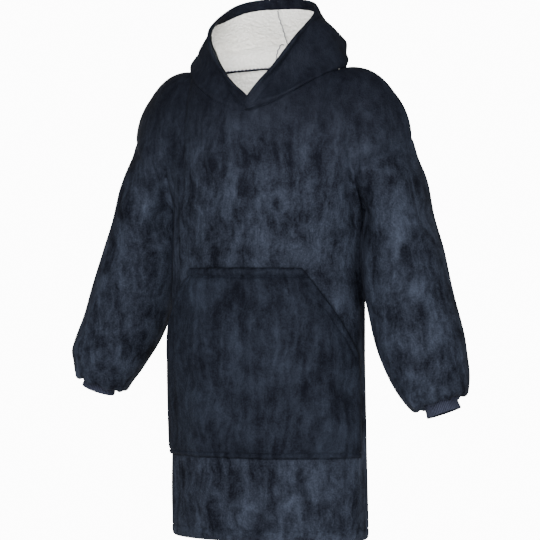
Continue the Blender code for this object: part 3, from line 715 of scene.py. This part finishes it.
HOOD_LIFT_RANGE = (0.80, 0.94)
HOOD_LIFT = 0.0095
HOOD_SEAM_LIFT = 0.40
HOOD_SEAM_ROWS = 0.28
SIDE_FADE = (0.5, 0.0)
HOOD_FOLDS = (
    # u_start, v_start, u_end, v_end, width, height
    (0.30, 0.10, 0.46, 0.60, 0.050, 0.003),
    (0.52, 0.06, 0.60, 0.50, 0.040, 0.003),
    (0.62, 0.10, 0.74, 0.55, 0.040, -0.002),
)


def hood_neck(theta):
    """Hood's edge on the neck seam: theta 0 at the centre back, 1 at the centre front."""
    if theta <= 0.5:
        point = neckline("back", math.pi * theta)
    else:
        point = neckline("front", math.pi * (1.0 - theta))
    return point - Vector((0.0, 0.0, HOOD_TUCK))


def hood_rim(theta):
    return through([Vector(row) for row in HOOD_RIM], 1.0 - theta)


@functools.lru_cache(maxsize=None)
def hood_profile(theta):
    """Points up the hood from the neck seam to the rim, and their distances, at one theta."""
    mirror = -1.0 if theta < 0.0 else 1.0
    theta = abs(theta)
    ends = hood_neck(theta), hood_rim(theta)
    rings = [ends[0]]
    for _, share, back, quarter, side in HOOD_RINGS:
        held = {0.0: Vector((0.0, *back)), 0.25: Vector(quarter), 0.5: Vector(side)}
        leans = [held[place] - hood_neck(place).lerp(hood_rim(place), share) for place in held]
        leans += [leans[2] * fade for fade in SIDE_FADE]
        leans.insert(0, Vector((-leans[1].x, leans[1].y, leans[1].z)))
        rings.append(ends[0].lerp(ends[1], share) + through(leans, (theta + 0.25) / 1.25))
    rings.append(ends[1])
    count = 6 * len(rings)
    points = [through(rings, number / count) for number in range(count + 1)]
    lengths = [0.0]
    for before, after in zip(points, points[1:]):
        lengths.append(lengths[-1] + (after - before).length)
    return [Vector((mirror * p.x, p.y, p.z)) for p in points], lengths


def neck_spot(x):
    """How far forward and how high the front's neckline is at a distance from the middle."""
    y_and_z = neckline("front", math.asin(max(min(x / NECK_HALF_WIDTH, 1.0), -1.0)))
    return Vector((0.0, y_and_z.y, y_and_z.z))


def hood_place(side_name, u, v):
    """Place on half the hood: u is theta from back to front, v runs up to the rim."""
    side = 1.0 if side_name == "left" else -1.0
    points, lengths = hood_profile(round(u, 6))
    distance = v * lengths[-1]
    index = 0
    while index < len(lengths) - 2 and distance > lengths[index + 1]:
        index += 1
    share = (distance - lengths[index]) / (lengths[index + 1] - lengths[index])
    point = points[index].lerp(points[index + 1], share)
    lap = smooth((u - HOOD_LAP_FROM) / (1.0 - HOOD_LAP_FROM))
    across, up = HOOD_LAP[side_name]
    if lap > 0.0:
        sewn = 1.0 - smooth(v / HOOD_SEAM_ROWS)
        before = neck_spot(point.x)
        point = point + Vector((-across, 0.0, up * (1.0 - sewn))) * lap
        point = point + (neck_spot(point.x) - before) * sewn
    if side_name == "left":
        start, full = HOOD_LIFT_RANGE
        lift = smooth((u - start) / (full - start))
        clear = smooth(v / HOOD_SEAM_ROWS)
        out = HOOD_LIFT * (HOOD_SEAM_LIFT + (1.0 - HOOD_SEAM_LIFT) * clear)
        point = point - Vector((0.0, out * lift, 0.0))
    return Vector((side * (point.x + SEAM_GAP / 2), point.y, point.z))


def hem_share(theta):
    """Share of the way up the hood where its turned hem starts."""
    return 1.0 - min(HOOD_HEM / hood_profile(round(theta, 6))[1][-1], HOOD_HEM_MOST)


def hood_row(u, v):
    """The hood's rows run evenly to the hem's stitches, evenly to the rim, then turn in."""
    start = hem_share(u)
    if v <= HEM_ROW:
        return start * v / HEM_ROW
    return start + (1.0 - start) * (v - HEM_ROW) / (1.0 - HEM_ROW)


HEM_ROW = 0.84
HOOD_TURN = 0.5 * (HOOD_WALL + LINING_WALL + 0.0009)
hood_frames = {"left": frame_of(functools.partial(hood_place, "left"), -1.0),
               "right": frame_of(functools.partial(hood_place, "right"), 1.0)}


def hood_cloth(side_name, u, v):
    """Place on the hood's own cloth, which rolls over the rim and back down inside it."""
    if v <= 1.0:
        return hood_place(side_name, u, hood_row(u, v))
    length = hood_profile(round(u, 6))[1][-1]
    point, normal = hood_frames[side_name](u, 0.999)
    off_edge = (hood_place(side_name, u, 0.9995) - hood_place(side_name, u, 0.985)).normalized()
    past = (v - 1.0) / (1.0 - HEM_ROW) * length * (1.0 - hem_share(u))
    angle = min(past / HOOD_TURN, math.pi)
    back = max(past - HOOD_TURN * math.pi, 0.0)
    if back > 0.0:
        share = max(0.999 - back / length, hem_share(u))
        point, normal = hood_frames[side_name](u, share)
    roll = normal * -HOOD_TURN * (1.0 - math.cos(angle))
    return point + roll + off_edge * HOOD_TURN * math.sin(angle)


def hood_relief(u, v):
    """Folds, pile and hem stitches of half the hood."""
    if v > 1.0:
        return 0.0
    length = hood_profile(round(u, 6))[1][-1]
    row = hood_row(u, v) * length
    seam = min(row, u * 0.3, (1.0 - u) * 0.3 + 0.002)
    height = fold_height(HOOD_FOLDS, u, v) * smooth(u * 8.0) * smooth((1.0 - v) * 12.0)
    height += rolled(min(seam, length - row + 0.003))
    height += NECK_RIDGE * math.exp(-((row - 0.008) / 0.005) ** 2)
    hem_line = (row - hem_share(u) * length)
    return height + stitched(hem_line, 0.0018, 0.0018)


HOOD_COLUMNS = stations(0.0, 1.0, 84, (0.006,), 0.003)
HOOD_ROWS = stations(0.0, HEM_ROW, 84, (0.012,), 0.003)
HOOD_ROWS = HOOD_ROWS[:-6] + [HEM_ROW - 0.034, HEM_ROW - 0.024, HEM_ROW - 0.016, HEM_ROW - 0.010,
                              HEM_ROW - 0.005, HEM_ROW, HEM_ROW + 0.008, HEM_ROW + 0.016,
                              HEM_ROW + 0.026, 0.885, 0.905, 0.925, 0.945, 0.965, 0.982, 1.0]
HOOD_ROWS += [1.012, 1.025, 1.038, 1.050, 1.062, 1.08, 1.11, 1.15, 1.19, 1.22]
for side_name, outward in (("left", -1.0), ("right", 1.0)):
    cloth = cut_cloth("hood_plush_" + side_name, HOOD_COLUMNS, HOOD_ROWS,
                      functools.partial(hood_cloth, side_name), hood_relief, outward)
    line_cloth(cloth, HOOD_WALL, PLUSH, PLUSH)
    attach(cloth, "root")
    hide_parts("hood_" + side_name)

# Hood lining
# Two halves of cream sherpa inside the hood, sewn into the neck seam and caught under the
# turned hem. Their middle seam is overlocked with navy thread, which shows.
LINING_END = 0.985


def lining_place(side_name, u, v):
    """Place on the lining's pile side, inside the hood."""
    point, normal = hood_frames[side_name](max(u, 0.0), min(hem_share(u) * v + 0.002, 0.998))
    return point - normal * (HOOD_WALL + 3.0 * SEAM_GAP + 0.4 * LINING_WALL)


def lining_relief(side_name, u, v):
    """Tufts of pile, lower at the middle seam and the neck seam."""
    length = hood_profile(round(u, 6))[1][-1] * hem_share(u)
    seam = min(u * 0.3, v * length)
    tuft = tufted(lining_place(side_name, u, v), 0.0065, 0.0022)
    return (tuft + 0.6 * LINING_WALL) * (1.0 - math.exp(-(seam / 0.004) ** 2))


for side_name, outward in (("left", 1.0), ("right", -1.0)):
    cloth = cut_cloth("hood_sherpa_" + side_name, stations(0.0, LINING_END, 150),
                      stations(0.0, 1.0, 190), functools.partial(lining_place, side_name),
                      functools.partial(lining_relief, side_name), outward)
    cloth.data.materials.append(SHERPA)
    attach(cloth, "root")
    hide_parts("hood_lining_" + side_name)

# Pocket
# One kangaroo pocket of plush on the front. Its top edge is turned and rolled, its slanted
# hand openings are hemmed with two rows of stitches, and its other edges are sewn down.
POCKET_WALL = 0.0028
POCKET_TOP_Z = -0.384
POCKET_SLANT_Z = -0.560
POCKET_BOTTOM_Z = -0.745
POCKET_TOP_SHARE = 0.395
POCKET_SIDE_SHARE = 0.900
POCKET_SLANT_START = 0.5
POCKET_BULGE = 0.012
POCKET_MOUTH = 0.62
POCKET_SIDE_POWER = 4
POCKET_HEM = 0.020
# Painted shade: the pocket's plush is a darker copy of the body's, partly because less light falls
# on it and partly because its pile lies another way.
POCKET_SHADED_LIGHTEST = (0.021, 0.027, 0.042)
POCKET_FOLDS = (
    # s_start, t_start, s_end, t_end, width, height
    (0.20, 0.06, 0.26, 0.50, 0.090, 0.004),
    (-0.34, 0.05, -0.28, 0.42, 0.080, 0.004),
    (-0.05, 0.10, 0.02, 0.60, 0.070, -0.003),
    (0.60, 0.10, 0.56, 0.42, 0.070, -0.003),
    (-0.66, 0.10, -0.60, 0.44, 0.070, -0.002),
)
front_frame = frame_of(functools.partial(body_place, "front"), 1.0)


def pocket_on_front(s, t):
    """Where a place of the pocket's own pattern lies in the front's."""
    if t <= POCKET_SLANT_START:
        z = POCKET_BOTTOM_Z + (POCKET_SLANT_Z - POCKET_BOTTOM_Z) * t / POCKET_SLANT_START
        half = POCKET_SIDE_SHARE
    else:
        slant = (t - POCKET_SLANT_START) / (1.0 - POCKET_SLANT_START)
        z = POCKET_SLANT_Z + (POCKET_TOP_Z - POCKET_SLANT_Z) * slant
        half = POCKET_SIDE_SHARE + (POCKET_TOP_SHARE - POCKET_SIDE_SHARE) * slant
    return s * half, UNDERARM_V * (z - HEM_Z) / (UNDERARM_Z - HEM_Z), half


def pocket_place(s, t):
    u, v, _ = pocket_on_front(s, t)
    point, normal = front_frame(u, v)
    slant = max(t - POCKET_SLANT_START, 0.0) / (1.0 - POCKET_SLANT_START)
    mouth = POCKET_MOUTH * math.sin(math.pi * slant) ** 0.5 if 0.0 < slant < 1.0 else 0.0
    side_hold = 1.0 - abs(s) ** POCKET_SIDE_POWER * (1.0 - mouth)
    bulge = POCKET_BULGE * side_hold * math.sin(math.pi * min(max(t, 0.0), 1.0)) ** 0.6
    folds = fold_height(PANEL_FOLDS["front"], u, v)
    return point + normal * (folds + 0.0024 + POCKET_WALL + bulge)


def pocket_relief(s, t):
    """Rolled top edge, hemmed openings, sewn edges, folds and pile of the pocket."""
    _, _, half = pocket_on_front(s, t)
    from_side = (1.0 - abs(s)) * half * HALF_ROUND
    from_top = (1.0 - t) * 0.352
    from_bottom = t * 0.37
    height = rolled(min(from_side, from_top, from_bottom) + 0.0015)
    height += fold_height(POCKET_FOLDS, s, t)
    height += 0.0040 * math.exp(-((from_top - 0.006) / 0.006) ** 2)
    height += stitched(from_top - 0.0165, 0.0034, 0.0026)
    height += stitched(from_bottom - 0.009, 0.0026, 0.0022)
    if t > POCKET_SLANT_START:
        height += stitched(from_side - POCKET_HEM, 0.0030, 0.0024)
    else:
        height += stitched(from_side - 0.006, 0.0014, 0.0018)
    return height


pocket_columns = stations(-1.0, 1.0, 110, (-0.93, 0.93), 0.008)
pocket_rows = stations(0.0, 1.0, 84, (0.024, 0.953), 0.0025)
cloth = cut_cloth("pocket_plush", pocket_columns, pocket_rows, pocket_place, pocket_relief, 1.0)
# The pocket gets its own darker copy of the plush: painted shade, together with its pile lying
# another way.
pocket_plush = plush_finish("crushed plush, shaded pocket", POCKET_SHADED_LIGHTEST)
line_cloth(cloth, POCKET_WALL, pocket_plush, pocket_plush)
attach(cloth, "root")
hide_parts("pocket")

# Seam thread
# The middle seam of the hood's lining and the seam under it are overlocked with navy
# thread, which stands up as a thin wavy line on the cream pile.
THREAD_RADIUS = 0.0008


def thread_finish():
    material, dye, shader = new_finish("navy thread", 0.7)
    place = dye.node("TexCoord", {}, {}, 3)
    twist = dye.node("TexNoise", {}, {"Vector": place, "Scale": 600.0, "Detail": 1.0})
    colour = dye.node("Mix", {"data_type": "RGBA"},
                      {0: twist, 6: (0.010, 0.013, 0.028, 1.0), 7: (0.040, 0.050, 0.090, 1.0)}, 2)
    feed(dye, shader, Base_Color=colour)
    return material


THREAD = thread_finish()


def sew_thread(name, points):
    """A thread laid through points as a thin round tube."""
    curve = bpy.data.curves.new(name, "CURVE")
    curve.dimensions = "3D"
    curve.bevel_depth = THREAD_RADIUS
    curve.bevel_resolution = 1
    curve.use_fill_caps = True
    line = curve.splines.new("POLY")
    line.points.add(len(points) - 1)
    for knot, point in zip(line.points, points):
        knot.co = (*point, 1.0)
    laid = bpy.data.objects.new(name, curve)
    bpy.context.collection.objects.link(laid)
    mesh = bpy.data.meshes.new_from_object(laid.evaluated_get(bpy.context.evaluated_depsgraph_get()))
    bpy.data.objects.remove(laid)
    mesh.shade_smooth()
    thread = bpy.data.objects.new(name, mesh)
    bpy.context.collection.objects.link(thread)
    mesh.materials.append(THREAD)
    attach(thread, "root")
    return thread


centre_line = []
for number in range(161):
    v = 0.01 + 0.985 * number / 160
    point, normal = hood_frames["left"](0.004, min(hem_share(0.004) * v + 0.002, 0.998))
    wave = 0.0012 * math.sin(number * 1.9) * (1.0 if number % 4 else -1.0)
    point = point - normal * (HOOD_WALL + LINING_WALL + 0.0022)
    centre_line.append(Vector((wave, point.y, point.z)))
sew_thread("hood_seam_thread", centre_line)
neck_line = []
for number in range(141):
    u = -0.46 + 0.92 * number / 140
    point = neckline("back", math.radians(90.0 * u / NECK_SHARE))
    inward = Vector((-point.x, NECK_SIDE_Y - point.y, 0.0)).normalized()
    wave = 0.0012 * math.sin(number * 2.1)
    neck_line.append(point + inward * 0.0085 + Vector((0.0, 0.0, wave)))
sew_thread("neck_seam_thread", neck_line)

# Studio
# A pale floor well below the hem, a broad key light beside the camera, a weaker one to its
# right and one behind the garment, and a narrow light from the camera's side into the hood.
CAMERA_AZIMUTH = math.radians(23.0)
CAMERA_DISTANCE = 5.08
CAMERA_Z = -0.388
CAMERA_ASIDE = 0.00485
LENS = 174.6
SENSOR_WIDTH = 36.0
FLOOR_Z = -1.35
FLOOR_RADIUS = 4.0
FLOOR_SIDES = 96
FLOOR_ROUGHNESS = 0.9
FLOOR_COLOUR = (0.95, 0.95, 0.95, 1.0)
WORLD_COLOUR = (1.0, 1.0, 1.0, 1.0)
WORLD_STRENGTH = 0.40
BACKDROP_STRENGTH = 12.0
SOFT_LIGHTS = (
    # name, azimuth in degrees, height, distance, size, watts
    ("key", 12.0, 0.20, 3.2, 1.8, 150.0),
    ("fill", 60.0, 0.0, 3.4, 1.6, 48.0),
    ("back fill", 205.0, 0.5, 3.4, 1.8, 60.0),
)
SOFT_LIGHT_AIM = Vector((0.0, 0.0, -0.40))
HOOD_LIGHT_WATTS = 1000.0
HOOD_LIGHT_ANGLE = math.radians(6.5)
HOOD_LIGHT_BLEND = 0.6
HOOD_LIGHT_RADIUS = 0.30
HOOD_LIGHT_DISTANCE = 3.0
HOOD_LIGHT_Z = 0.45
HOOD_LIGHT_AIM = Vector((-0.01, 0.03, 0.06))

right = Vector((math.cos(CAMERA_AZIMUTH), math.sin(CAMERA_AZIMUTH), 0.0))
toward = Vector((math.sin(CAMERA_AZIMUTH), -math.cos(CAMERA_AZIMUTH), 0.0))
camera = bpy.data.objects.new("camera", bpy.data.cameras.new("camera"))
bpy.context.collection.objects.link(camera)
camera.location = toward * CAMERA_DISTANCE + right * CAMERA_ASIDE + Vector((0, 0, CAMERA_Z))
camera.rotation_euler = (math.radians(90.0), 0.0, CAMERA_AZIMUTH)
camera.data.lens = LENS
camera.data.sensor_width = SENSOR_WIDTH
bpy.context.scene.camera = camera

floor_cut = bmesh.new()
bmesh.ops.create_circle(floor_cut, cap_ends=True, segments=FLOOR_SIDES, radius=FLOOR_RADIUS)
floor_mesh = bpy.data.meshes.new("floor")
floor_cut.to_mesh(floor_mesh)
floor_cut.free()
floor = bpy.data.objects.new("floor", floor_mesh)
floor.location.z = FLOOR_Z
bpy.context.collection.objects.link(floor)
floor_finish, _, floor_shader = new_finish("pale floor", FLOOR_ROUGHNESS)
floor_shader.inputs["Base Color"].default_value = FLOOR_COLOUR
floor_mesh.materials.append(floor_finish)

world = bpy.data.worlds.new("studio")
bpy.context.scene.world = world
world.use_nodes = True
sky = Dye(world.node_tree)
seen = sky.node("LightPath", {}, {}, 0)
backdrop = sky.node("Background", {}, {"Color": WORLD_COLOUR,
                                       "Strength": WORLD_STRENGTH + BACKDROP_STRENGTH * seen})
world.node_tree.links.new(backdrop.socket, world.node_tree.nodes["World Output"].inputs[0])


def soft_light(name, azimuth, height, distance, size, watts):
    """A square soft light that looks at the middle of the garment."""
    lamp = bpy.data.objects.new(name, bpy.data.lights.new(name, "AREA"))
    bpy.context.collection.objects.link(lamp)
    lamp.data.size = size
    lamp.data.energy = watts
    spot = Vector((math.sin(azimuth), -math.cos(azimuth), 0.0)) * distance
    spot.z = height
    lamp.location = spot
    aim = SOFT_LIGHT_AIM - spot
    lamp.rotation_euler = aim.to_track_quat("-Z", "Y").to_euler()


for light_name, degrees, height, distance, size, watts in SOFT_LIGHTS:
    soft_light(light_name, math.radians(degrees), height, distance, size, watts)

# A narrow light from the camera's side for the inside of the hood
hood_lamp = bpy.data.objects.new("hood light", bpy.data.lights.new("hood light", "SPOT"))
bpy.context.collection.objects.link(hood_lamp)
hood_lamp.data.energy = HOOD_LIGHT_WATTS
hood_lamp.data.spot_size = HOOD_LIGHT_ANGLE
hood_lamp.data.spot_blend = HOOD_LIGHT_BLEND
hood_lamp.data.shadow_soft_size = HOOD_LIGHT_RADIUS
hood_lamp.location = toward * HOOD_LIGHT_DISTANCE + Vector((0.0, 0.0, HOOD_LIGHT_Z))
hood_aim = HOOD_LIGHT_AIM - hood_lamp.location
hood_lamp.rotation_euler = hood_aim.to_track_quat("-Z", "Y").to_euler()
